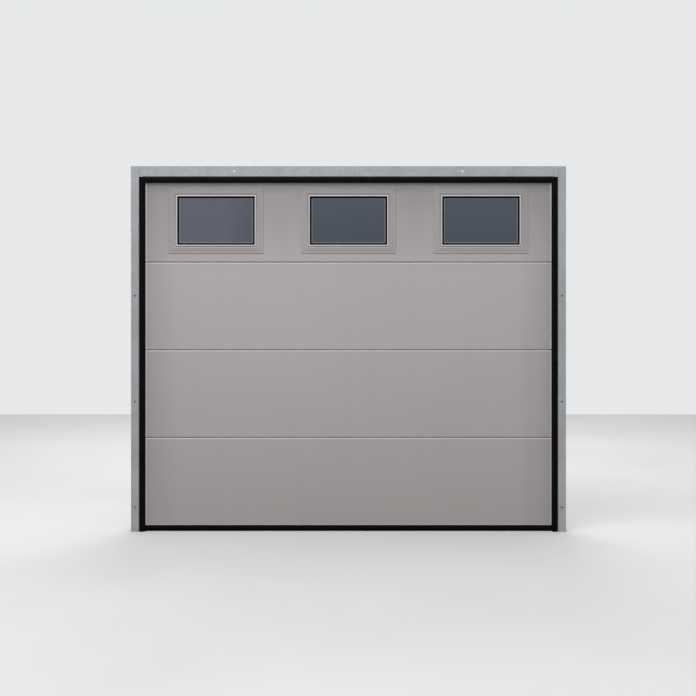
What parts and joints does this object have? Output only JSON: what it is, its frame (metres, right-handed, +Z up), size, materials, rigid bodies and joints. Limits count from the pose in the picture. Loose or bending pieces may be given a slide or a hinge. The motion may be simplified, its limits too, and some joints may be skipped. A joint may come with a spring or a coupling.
{
  "type": "sectional garage door",
  "caption": "Insulated sectional garage door in its frame, closed, with windows in the top section, black edge seals, ceiling tracks, rollers, hinges, torsion springs and lift cables.",
  "frame": {"origin": "centre of the head rail's face against the wall, 2214 mm above the floor", "axes": "+X to the right seen from the street, +Y from the street into the garage, +Z up"},
  "size_m": [2.69, 2.7238, 2.331],
  "materials": {
    "leaf_paint": "fine satin texture",
    "window_frame_paint": "satin",
    "inner_frame_plastic": "satin",
    "tinted_glass": "polished",
    "glazing_bead_plastic": "satin",
    "gasket_rubber": "matt",
    "edge_seal_plastic": "matt",
    "floor_seal_rubber": "matt",
    "zinc_sheet": "zinc-coated",
    "end_cap_zinc": "satin",
    "hinge_zinc": "zinc-coated",
    "shaft_zinc": "zinc-coated",
    "spring_steel": "oiled",
    "cast_alloy": "as cast",
    "pulley_steel": "zinc-coated",
    "bare_aluminium": "as drawn",
    "nylon": "satin",
    "wire_rope": "stranded"
  },
  "bodies": {
    "root": {"bottom_section": "leaf_paint", "second_section": "leaf_paint", "third_section": "leaf_paint", "window_section": "leaf_paint", "left_window_frame": "window_frame_paint", "centre_window_frame": "window_frame_paint", "right_window_frame": "window_frame_paint", "inner_window_frames": "inner_frame_plastic", "left_window_pane": "tinted_glass", "centre_window_pane": "tinted_glass", "right_window_pane": "tinted_glass", "glazing_beads": "glazing_bead_plastic", "window_gaskets": "gasket_rubber", "left_side_seal": "edge_seal_plastic", "right_side_seal": "edge_seal_plastic", "head_seal": "edge_seal_plastic", "floor_seal": "floor_seal_rubber", "left_post": "zinc_sheet", "right_post": "zinc_sheet", "head_rail": "zinc_sheet", "vertical_tracks": "zinc_sheet", "track_bends": "zinc_sheet", "ceiling_tracks": "zinc_sheet", "upper_tracks": "zinc_sheet", "corner_plates": "zinc_sheet", "shaft_brackets": "zinc_sheet", "rear_hangers": "zinc_sheet", "rear_tie_bar": "zinc_sheet", "centre_bracket": "zinc_sheet", "section_end_caps": "end_cap_zinc", "side_hinges": "hinge_zinc", "centre_hinges": "hinge_zinc", "bottom_brackets": "hinge_zinc", "top_brackets": "hinge_zinc", "torsion_shaft": "shaft_zinc", "left_torsion_spring": "spring_steel", "right_torsion_spring": "spring_steel", "spring_cones": "cast_alloy", "cable_drums": "cast_alloy", "cable_pulleys": "pulley_steel", "bottom_rail": "bare_aluminium", "rollers": "nylon", "lift_cables": "wire_rope"}
  },
  "joints": []
}
